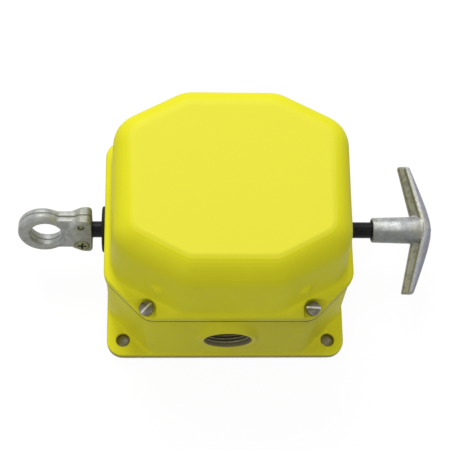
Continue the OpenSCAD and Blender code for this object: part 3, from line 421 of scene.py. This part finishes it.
def web_shade(s):
    """Dark patches of painted shade in the web of the handle's bar."""
    return s.product(handle_web(s), s.ramp(s.noise(3.2 * MM), 0.5, 0.6, 0, 0.7))


def flange_reflection(s):
    """Rises on the outermost face of the handle's bar, where a bluish reflection of the sky is painted."""
    outer = s.math("ADD", s.x, s.product(s.math("ABSOLUTE", s.y), 0.75 * HANDLE_SWEEP))
    return s.ramp(outer, HANDLE_NOSE - 4.5 * MM, HANDLE_NOSE - 1.5 * MM, 0, 0.7)


def bar_edge_highlight(s):
    """Rises on the edge of the bar's flange beside the web, where a highlight is painted, most on the arm at
    the back.
    """
    reach, groove = bar_places(s)
    strip = s.product(s.ramp(groove, HANDLE_NOSE - 5.6 * MM, HANDLE_NOSE - 4.6 * MM),
                      s.ramp(groove, HANDLE_NOSE - 2.6 * MM, HANDLE_NOSE - 3.4 * MM))
    return s.product(strip, s.ramp(s.y, -4 * MM, 4 * MM, 0.25, 1), s.ramp(reach, 8 * MM, 46 * MM, 0.9, 0.4))


def hub_highlight(s):
    """Rises on the crown of the handle's hub, where a highlight is painted, most at its open end."""
    hub = s.product(s.ramp(s.math("ABSOLUTE", s.y), 10 * MM, 8 * MM),
                    s.ramp(s.x, HANDLE_NOSE - 24 * MM, HANDLE_NOSE - 12 * MM, 0.85, 0.3))
    return s.product(hub, s.product(s.facing(UP, 0.9, 0.99, 1), s.ramp(s.noise(5 * MM), 0.3, 0.6)))


def handle_front_shade(s):
    """Rises on the faces of the handle that look to the front, where shade is painted."""
    return s.facing((0, -1, 0), 0.15, 0.5, 0.6)


def eye_root_reflection(s):
    """Rises towards the end of the eye that takes the shaft, where a darker olive reflection of the yellow
    housing is painted.
    """
    return s.product(s.ramp(s.x, EYE_END - 11 * MM, EYE_END - 2 * MM, 0, 0.8),
                     s.ramp(s.noise(4 * MM), 0.3, 0.6, 0.5, 1))


def eye_under_shade(s):
    """Rises on the outer edge of the eye that looks down and a little to the front, where shade is painted.
    """
    return s.facing(EYE_DOWN, 0.05, 0.65, 0.75)


def plastic(name, colour, second, rough=(0.34, 0.5)):
    """Moulded plastic, cloudy between two tones."""
    s = Surface(name)
    tone = s.mix(s.ramp(s.noise(3 * MM), 0.3, 0.7), colour, second)
    s.set(Base_Color=tone, Roughness=s.ramp(s.noise(MM), 0.3, 0.7, *rough))
    s.raise_by(s.noise(0.5 * MM), 0.012 * MM)
    return s.done()


# One finish for each material slot of the record, and four more for places on single pieces
finishes = {
    "bare_thread": metal("bare_thread", THREAD_GREY, srgb(84, 78, 56), rough=(0.4, 0.55), metallic=0.4,
                         gloss=0.3),
    "yellow_powder_coat": powder_coat(),
    "gasket_rubber": rubber("gasket_rubber", srgb(8, 7, 2), srgb(16, 14, 4), srgb(34, 30, 10),
                            srgb(150, 144, 30), 0.02),
    "seal_rubber": rubber("seal_rubber", srgb(13, 13, 14), srgb(22, 22, 23), srgb(44, 44, 46)),
    "stainless_screws": metal("stainless_screws", srgb(136, 131, 118), srgb(84, 80, 68), metallic=0.5),
    "dull_heads": metal("dull_heads", srgb(148, 148, 112), srgb(110, 110, 80), metallic=0.3, gloss=0.3),
    "recess_shade": metal("recess_shade", srgb(52, 48, 36), srgb(30, 28, 20), metallic=0.3, gloss=0.2),
    # A painted highlight for the floor of the cover screws' slots
    "slot_highlight": metal("slot_highlight", srgb(236, 234, 228), srgb(196, 192, 184), metallic=0.3),
    "plated_steel": metal("plated_steel", srgb(186, 188, 190), srgb(150, 152, 156)),
    "green_plating": metal("green_plating", srgb(46, 120, 60), srgb(30, 88, 42)),
    "bushing_bronze": metal("bushing_bronze", srgb(176, 132, 78), srgb(128, 92, 52), rough=(0.4, 0.55)),
    "black_oxide_steel": metal("black_oxide_steel", srgb(14, 14, 16), srgb(7, 7, 8), rough=(0.32, 0.46),
                               metallic=0.0, worn=srgb(40, 40, 43), gloss=0.12),
    "cam_steel": metal("cam_steel", srgb(168, 170, 172), srgb(128, 130, 132)),
    "spring_steel": metal("spring_steel", srgb(172, 172, 174), srgb(116, 116, 118), rough=(0.22, 0.34)),
    "phenolic": plastic("phenolic", srgb(44, 28, 22), srgb(60, 38, 30)),
    "insulating_board": plastic("insulating_board", srgb(196, 184, 148), srgb(178, 164, 126),
                                rough=(0.6, 0.75)),
    "red_nylon": plastic("red_nylon", srgb(176, 36, 30), srgb(158, 28, 24)),
    "roller_nylon": plastic("roller_nylon", srgb(220, 212, 186), srgb(206, 196, 166)),
    "terminal_brass": metal("terminal_brass", srgb(214, 180, 104), srgb(176, 142, 74)),
    # The eye takes a painted reflection of the housing at its root, and painted shade on its underside
    "cast_grey_metal": casting_metal("cast_grey_metal", srgb(178, 181, 179), srgb(142, 144, 140),
                                     srgb(134, 127, 76), 2.6 * MM, 0.36,
                                     regions=((eye_root_reflection, srgb(116, 117, 84)), (eye_under_shade, srgb(84, 86, 74)))),
    # The handle takes painted shade on its front faces and in its web, painted highlights on the hub and the
    # flange's edge, and a painted bluish reflection on the flange
    "cast_aluminium": casting_metal("cast_aluminium", srgb(190, 192, 195), srgb(138, 140, 143),
                                    srgb(150, 142, 76), 2.0 * MM, 0.42, grain=0.07, rough=(0.34, 0.5),
                                    regions=((handle_front_shade, srgb(104, 108, 108)),
                                             (hub_highlight, srgb(246, 248, 250)),
                                             (handle_web, srgb(142, 140, 106)),
                                             (web_shade, srgb(88, 86, 58)),
                                             (flange_reflection, srgb(142, 142, 166)),
                                             (bar_edge_highlight, srgb(242, 242, 234)))),
}


# ---------- pieces ----------

# The turns in degrees of each cover screw's slot, front pair first, and of the crosses in the eye's screws
SLOT_TURNS = (45, -3, 20, 70)
CROSS_TURN = -4

# The spot faces on the eye for the heads of its screws, and the room round a screw's tip in its open hole
SPOT_R = 4.4 * MM
SPOT_DEPTH = 0.9 * MM
TIP_ROOM = 0.55 * MM
TIP_DEPTH = 1.5 * MM

# The pads on the cover's cut corners: where they sit, the way they face, and the size of pad and nipple
PAD_PLACE = (40.8 * MM, 52 * MM, 73 * MM)
PAD_WAY = (0.47, 0.88)
PAD_R, PAD_RISE = 3.8 * MM, 1.7 * MM
NIPPLE_R, NIPPLE_RISE, NIPPLE_OUT = 1.1 * MM, MM, 1.3 * MM

# The rounding under the cover's top: the CAD's radius, then the slope and radius that it is drawn in to
TOP_ROUND = 12 * MM
CREASE = math.radians(25)
CREASE_ROUND = 21.5 * MM
CREASE_SHIFT = 0.4 * MM

# The steepest tilt that is followed, the share of the pull left at the back, and how far below the top,
# in parts of TOP_ROUND, the pull begins to run out and takes to do so
CREASE_STEEPEST = math.radians(83)
CREASE_BACK = 0.12
FADE_FROM, FADE_OVER = 0.88, 0.6

# The conduit's pipe thread, and how many points its ridge has to a turn
THREAD_PITCH = 1.81 * MM
THREAD_RISE = 0.75 * MM
THREAD_STEPS = 48


def merged(node):
    """A copy of a CAD node's mesh, its surfaces joined along their edges."""
    bm = bmesh.new()
    bm.from_mesh(nodes[node].data)
    bmesh.ops.remove_doubles(bm, verts=bm.verts, dist=0.002 * MM)
    return bm


def mesh_of(bm, name):
    """The finished mesh of bm, which is freed."""
    mesh = bpy.data.meshes.new(name)
    bm.to_mesh(mesh)
    bm.free()
    return mesh


def placed(name, mesh):
    """A new object in the scene."""
    obj = bpy.data.objects.new(name, mesh)
    scene.collection.objects.link(obj)
    return obj


def new_piece(name, mesh, body, slot, replaced=(), look=None):
    """A visible piece. A mesh without a finish takes the one called look, or else its slot's."""
    obj = placed(name, mesh)
    if not len(mesh.materials):
        mesh.materials.append(finishes[look or slot])
    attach(obj, body)
    if replaced:
        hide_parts(*replaced)


def evaluated(obj):
    """The mesh of obj with its modifiers applied. obj itself is removed."""
    graph = bpy.context.evaluated_depsgraph_get()
    mesh = bpy.data.meshes.new_from_object(obj.evaluated_get(graph))
    bpy.data.objects.remove(obj)
    for face in mesh.polygons:
        face.use_smooth = True
    return mesh


def carved(body, cutters, look=None):
    """The mesh of body less its cutters. Faces that they cut take the finish called look, if there is one."""
    for cutter in cutters:
        cut = body.modifiers.new("cut", "BOOLEAN")
        cut.object = cutter
        cut.solver = "EXACT"
        if look:
            cutter.data.materials.append(finishes[look])
            cut.material_mode = "TRANSFER"
    mesh = evaluated(body)
    for cutter in cutters:
        bpy.data.objects.remove(cutter)
    return mesh


def loft(name, rings):
    """A closed mesh: walls from each ring of points to the next, and a face over the first and the last."""
    bm = bmesh.new()
    rings = [[bm.verts.new(point) for point in ring] for ring in rings]
    for low, high in zip(rings, rings[1:]):
        for k in range(len(low)):
            n = (k + 1) % len(low)
            bm.faces.new((low[k], low[n], high[n], high[k]))
    bm.faces.new(rings[0][::-1])
    bm.faces.new(rings[-1])
    bmesh.ops.recalc_face_normals(bm, faces=bm.faces)
    return mesh_of(bm, name)


def lathe(name, profile, base, turn, segments=48):
    """A closed mesh turned from (radius, height) pairs about the local Z of base and turn."""
    angles = [2 * math.pi * k / segments for k in range(segments)]
    return loft(name, [[base + turn @ Vector((radius * math.cos(angle), radius * math.sin(angle), height))
                        for angle in angles] for radius, height in profile])


def islands(node):
    """The separate solids of a CAD node, each as the sorted list of its points, so that every run agrees."""
    bm = merged(node)
    left = set(bm.verts)
    found = []
    while left:
        group = [left.pop()]
        for vert in group:
            for edge in vert.link_edges:
                other = edge.other_vert(vert)
                if other in left:
                    left.remove(other)
                    group.append(other)
        found.append(sorted((v.co.copy() for v in group), key=tuple))
    bm.free()
    return sorted(found, key=lambda points: (round(min(p.y for p in points), 3), min(p.x for p in points)))


def cast_piece(node, voxel, rounds, keep, details=(), shape=None, source=None):
    """A CAD node as a casting: remeshed evenly and smoothed, then thinned to keep of its faces.

    details are meshes that join it first, source is a mesh that stands in for the node's own, and shape
    is called on the smoothed mesh before the thinning.
    """
    name = node + "_cast"
    bm = merged(node)
    if source:
        bm.clear()
        bm.from_mesh(source)
    for detail in details:
        bm.from_mesh(detail)
    obj = placed(name, mesh_of(bm, name))
    even = obj.modifiers.new("even", "REMESH")
    even.mode = "VOXEL"
    even.voxel_size = voxel
    soft = obj.modifiers.new("soft", "SMOOTH")
    soft.factor = 0.5
    soft.iterations = rounds
    if shape:
        fine = evaluated(obj)
        shape(fine)
        obj = placed(name, fine)
    thin = obj.modifiers.new("thin", "DECIMATE")
    thin.ratio = keep
    new_piece(node + "_casting", evaluated(obj), body_of[node], slot_of[node], (node,))


def dome(centre, normal, radius, height):
    """A low round nub on a wall."""
    bm = bmesh.new()
    bmesh.ops.create_uvsphere(bm, u_segments=24, v_segments=16, radius=1)
    turn = UP.rotation_difference(normal).to_matrix().to_4x4()
    bm.transform(Matrix.Translation(centre) @ turn @ Matrix.Diagonal((radius, radius, height, 1)))
    return mesh_of(bm, "dome")


def cover_nubs():
    """The low round pads on the cover's cut corners, one above each screw, each with a small nipple."""
    bm = merged("cover")
    tree = BVHTree.FromBMesh(bm)
    bm.free()
    x, y, z = PAD_PLACE
    found = []
    for sx in (-1, 1):
        for sy in (-1, 1):
            inward = Vector((-PAD_WAY[0] * sx, -PAD_WAY[1] * sy, 0)).normalized()
            hit, normal, _, _ = tree.ray_cast(Vector((sx * x, sy * y, z)) - inward * 0.04, inward)
            found += [dome(hit, normal, PAD_R, PAD_RISE),
                      dome(hit + normal * NIPPLE_OUT, normal, NIPPLE_R, NIPPLE_RISE)]
    return found


def crease_top(mesh):
    """Draws the rounding under the cover's flat top in a little, so that a soft crease frames the flat.

    The CAD rounding starts tangent to the flat. Here it starts at CREASE and turns down on the wider radius
    CREASE_ROUND, which pulls each point in along its normal, and runs out in the walls below. The back keeps
    nearly all of its rounding.
    """
    count = len(mesh.vertices)
    points = numpy.empty(3 * count, dtype=numpy.float32)
    normals = numpy.empty(3 * count, dtype=numpy.float32)
    mesh.vertices.foreach_get("co", points)
    mesh.vertex_normals.foreach_get("vector", normals)
    points, normals = points.reshape(-1, 3), normals.reshape(-1, 3)
    drop = numpy.clip(COVER_TOP - points[:, 2], 0, TOP_ROUND)
    tilt = numpy.minimum(numpy.arccos(1 - drop / TOP_ROUND), CREASE_STEEPEST)
    off_x = CREASE_SHIFT - CREASE_ROUND * math.sin(CREASE)
    off_z = TOP_ROUND - CREASE_ROUND * math.cos(CREASE)
    along = numpy.sin(tilt) * off_x + numpy.cos(tilt) * off_z
    reach = along + numpy.sqrt(along ** 2 - off_x ** 2 - off_z ** 2 + CREASE_ROUND ** 2)
    pull = numpy.clip(TOP_ROUND - reach, 0, None)
    below = (COVER_TOP - points[:, 2] - FADE_FROM * TOP_ROUND) / (FADE_OVER * TOP_ROUND)
    pull *= (1 - numpy.clip(below, 0, 1)) ** 2
    outer = ((points - numpy.array((0, 0, 0.6 * COVER_TOP))) * normals).sum(axis=1) > 0
    front = numpy.clip(0.5 - points[:, 1] / (50 * MM), 0, 1)
    points -= normals * (pull * outer * (CREASE_BACK + (1 - CREASE_BACK) * front))[:, None]
    mesh.vertices.foreach_set("co", points.astype(numpy.float32).ravel())
    mesh.update()


def conduit_thread():
    """The pipe thread cut inside the conduit entry, as one winding ridge that runs out at both ends."""
    mount = mounts["conduit_entry"]
    centre = Vector(mount["pos_m"])
    bore, length = (mount["dims"][key] * MM for key in ("r_mm", "length_mm"))
    foot, crest, sunk = 0.46 * THREAD_PITCH, 0.06 * THREAD_PITCH, bore + 0.1 * MM
    last = (length / THREAD_PITCH - 1) * THREAD_STEPS
    rings = []
    for i in range(int(last) + 1):
        angle = 2 * math.pi * i / THREAD_STEPS
        along = -length / 2 + THREAD_PITCH / 2 + THREAD_PITCH * i / THREAD_STEPS
        tip = bore - THREAD_RISE * min(1, i / THREAD_STEPS, (last - i) / THREAD_STEPS)
        rings.append([centre + Vector((r * math.cos(angle), along + offset, r * math.sin(angle)))
                      for offset, r in ((-foot, sunk), (-crest, tip), (crest, tip), (foot, sunk))])
    new_piece("conduit_thread", loft("conduit_thread", rings), "housing", "yellow_powder_coat",
              look="bare_thread")


def driven_screw(node, kind, number, screw, recess, looks):
    """One screw with the recess for its driver. looks names the finishes of the screw and of the recess."""
    screw.materials.append(finishes[looks[0]])
    mesh = carved(placed("screw", screw), [placed("recess", recess)], looks[1])
    new_piece("%s_%s_%d" % (node, kind, number), mesh, body_of[node], slot_of[node], (node,))


def slotted_screws(node):
    """The cover screws: a domed head with a slot whose floor takes a painted highlight."""
    for number, points in enumerate(islands(node)):
        low, high = min(p.z for p in points), max(p.z for p in points)
        head = [p for p in points if p.z > high - 1.5 * MM]
        xs, ys = [p.x for p in head], [p.y for p in head]
        centre = Vector(((min(xs) + max(xs)) / 2, (min(ys) + max(ys)) / 2, 0))
        head_r = (max(xs) - min(xs)) / 2
        shank = [p.x for p in points if p.z < low + MM]
        shank_r = (max(shank) - min(shank)) / 2
        under = min(p.z for p in points if (p - centre).xy.length > 0.9 * head_r)
        profile = ((0.7 * shank_r, low), (shank_r, low + 0.5 * MM), (shank_r, under), (head_r, under),
                   (head_r, high - 0.9 * MM), (0.93 * head_r, high - 0.55 * MM),
                   (0.8 * head_r, high - 0.25 * MM), (0.55 * head_r, high - 0.06 * MM), (0.25 * head_r, high))
        angle = math.radians(SLOT_TURNS[number % len(SLOT_TURNS)])
        along = Vector((math.cos(angle), math.sin(angle), 0)) * (1.3 * head_r)
        across = Vector((-math.sin(angle), math.cos(angle), 0)) * (0.15 * head_r)
        slot = [[centre + along * sx + across * sy + UP * z for sx, sy in SQUARE]
                for z in (high - MM, high + MM)]
        driven_screw(node, "slotted", number, lathe("screw", profile, centre, Matrix.Identity(3), 64),
                     loft("slot", slot), (slot_of[node], "slot_highlight"))


def eye_screw_ends():
    """For each eye screw, the points on the block's two faces that its axis passes, head end first.

    Each row is the point at the head, the way out there, the point at the tip, and the tip's radius.
    """
    def height(point):
        return (point - EYE_CENTRE).dot(EYE_AXIS)

    face = max(height(v.co) for v in nodes["eye_front_half"].data.vertices)
    found = []
    for points in islands("eye_screws"):
        ends = {}
        for side in (-1, 1):
            near = max(side * height(p) for p in points) - 2.5 * MM
            ring = [p for p in points if side * height(p) > near]
            centre = sum(ring, Vector()) / len(ring)
            offsets = (p - centre for p in ring)
            ends[side] = (max((d - EYE_AXIS * d.dot(EYE_AXIS)).length for d in offsets), centre)
        side = max(ends, key=lambda k: ends[k][0])
        tip_r, centre = ends[-side]
        centre = centre - EYE_AXIS * height(centre)
        out = EYE_AXIS * side
        found.append((centre + out * face, out, centre - out * face, tip_r))
    return found


def drill(node, cuts):
    """A copy of a node's mesh with round holes: cuts are (point on the face, way out, radius, depth)."""
    bm = merged(node)
    bmesh.ops.recalc_face_normals(bm, faces=bm.faces)
    cutters = []
    for point, out, radius, depth in cuts:
        turn = UP.rotation_difference(out).to_matrix()
        cutters.append(placed("drill", lathe("drill", ((radius, -depth), (radius, 2 * MM)), point, turn)))
    return carved(placed("drilled", mesh_of(bm, "drilled")), cutters)


def soften_neck(mesh):
    """Melts the steps above and below the neck of the eye into its ring and its block."""
    bm = bmesh.new()
    bm.from_mesh(mesh)
    neck = [v for v in bm.verts if EYE_CENTRE.x + 6 * MM < v.co.x < EYE_END - 8 * MM
            and abs((v.co - EYE_CENTRE).dot(EYE_DOWN)) > 7 * MM]
    for _ in range(40):
        bmesh.ops.smooth_vert(bm, verts=neck, factor=0.5, use_axis_x=True, use_axis_y=True, use_axis_z=True)
    bm.to_mesh(mesh)
    bm.free()


def eye_half(node):
    """One half of the eye, with the spot faces of the screw heads and the open ends of the screw holes."""
    low, high = (Vector(c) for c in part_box(node))
    side = 1 if ((low + high) / 2 - EYE_CENTRE).dot(EYE_AXIS) > 0 else -1
    cuts = []
    for head, out, tip, tip_r in eye_screw_ends():
        if out.dot(EYE_AXIS) * side > 0:
            cuts.append((head, out, SPOT_R, SPOT_DEPTH))
        else:
            cuts.append((tip, -out, tip_r + TIP_ROOM, TIP_DEPTH))
    cast_piece(node, 0.25 * MM, 26, 0.3, shape=soften_neck, source=drill(node, cuts))


def cross_recess(base, turn, arm, width, depth, top):
    """A tapered cross, the shape that a cross-point bit leaves."""
    a, w = arm / 2, width / 2
    outline = ((a, -w), (a, w), (w, w), (w, a), (-w, a), (-w, w), (-a, w), (-a, -w),
               (-w, -w), (-w, -a), (w, -a), (w, -w))
    return loft("cross", [[base + turn @ Vector((x * shrink, y * shrink, height)) for x, y in outline]
                          for height, shrink in ((-depth, 0.6), (top, 1.0))])


def cross_screws(node):
    """The eye's two screws: a flat domed head with a cross recess, and a bevelled tip in the far hole."""
    head_r = SPOT_R - 0.35 * MM
    for number, (head, out, tip, shank_r) in enumerate(eye_screw_ends()):
        base = (head + tip) / 2
        face = (head - tip).length / 2
        turn = UP.rotation_difference(out).to_matrix()
        seat = face - SPOT_DEPTH
        profile = ((0.5 * shank_r, 0.7 * MM - face), (0.8 * shank_r, 0.9 * MM - face),
                   (shank_r, 1.4 * MM - face), (shank_r, seat), (head_r, seat),
                   (head_r, seat + 0.45 * SPOT_DEPTH), (0.94 * head_r, seat + 0.75 * SPOT_DEPTH),
                   (0.8 * head_r, face - 0.1 * MM), (0.5 * head_r, face + 0.05 * MM),
                   (0.2 * head_r, face + 0.1 * MM))
        cross = cross_recess(base + out * face, turn @ Matrix.Rotation(math.radians(CROSS_TURN), 3, "Z"),
                             1.5 * head_r, 0.34 * head_r, 1.3 * MM, 0.6 * MM)
        driven_screw(node, "cross", number, lathe("screw", profile, base, turn), cross,
                     ("dull_heads", "recess_shade"))


cast_piece("cover", 0.6 * MM, 4, 0.25, cover_nubs(), crease_top)
cast_piece("base_housing", 0.7 * MM, 9, 0.25)
cast_piece("t_handle", 0.35 * MM, 5, 0.35)
eye_half("eye_front_half")
eye_half("eye_rear_half")
conduit_thread()
slotted_screws("cover_screws")
cross_screws("eye_screws")

for name, obj in nodes.items():
    obj.data.materials.clear()
    obj.data.materials.append(finishes[slot_of[name]])
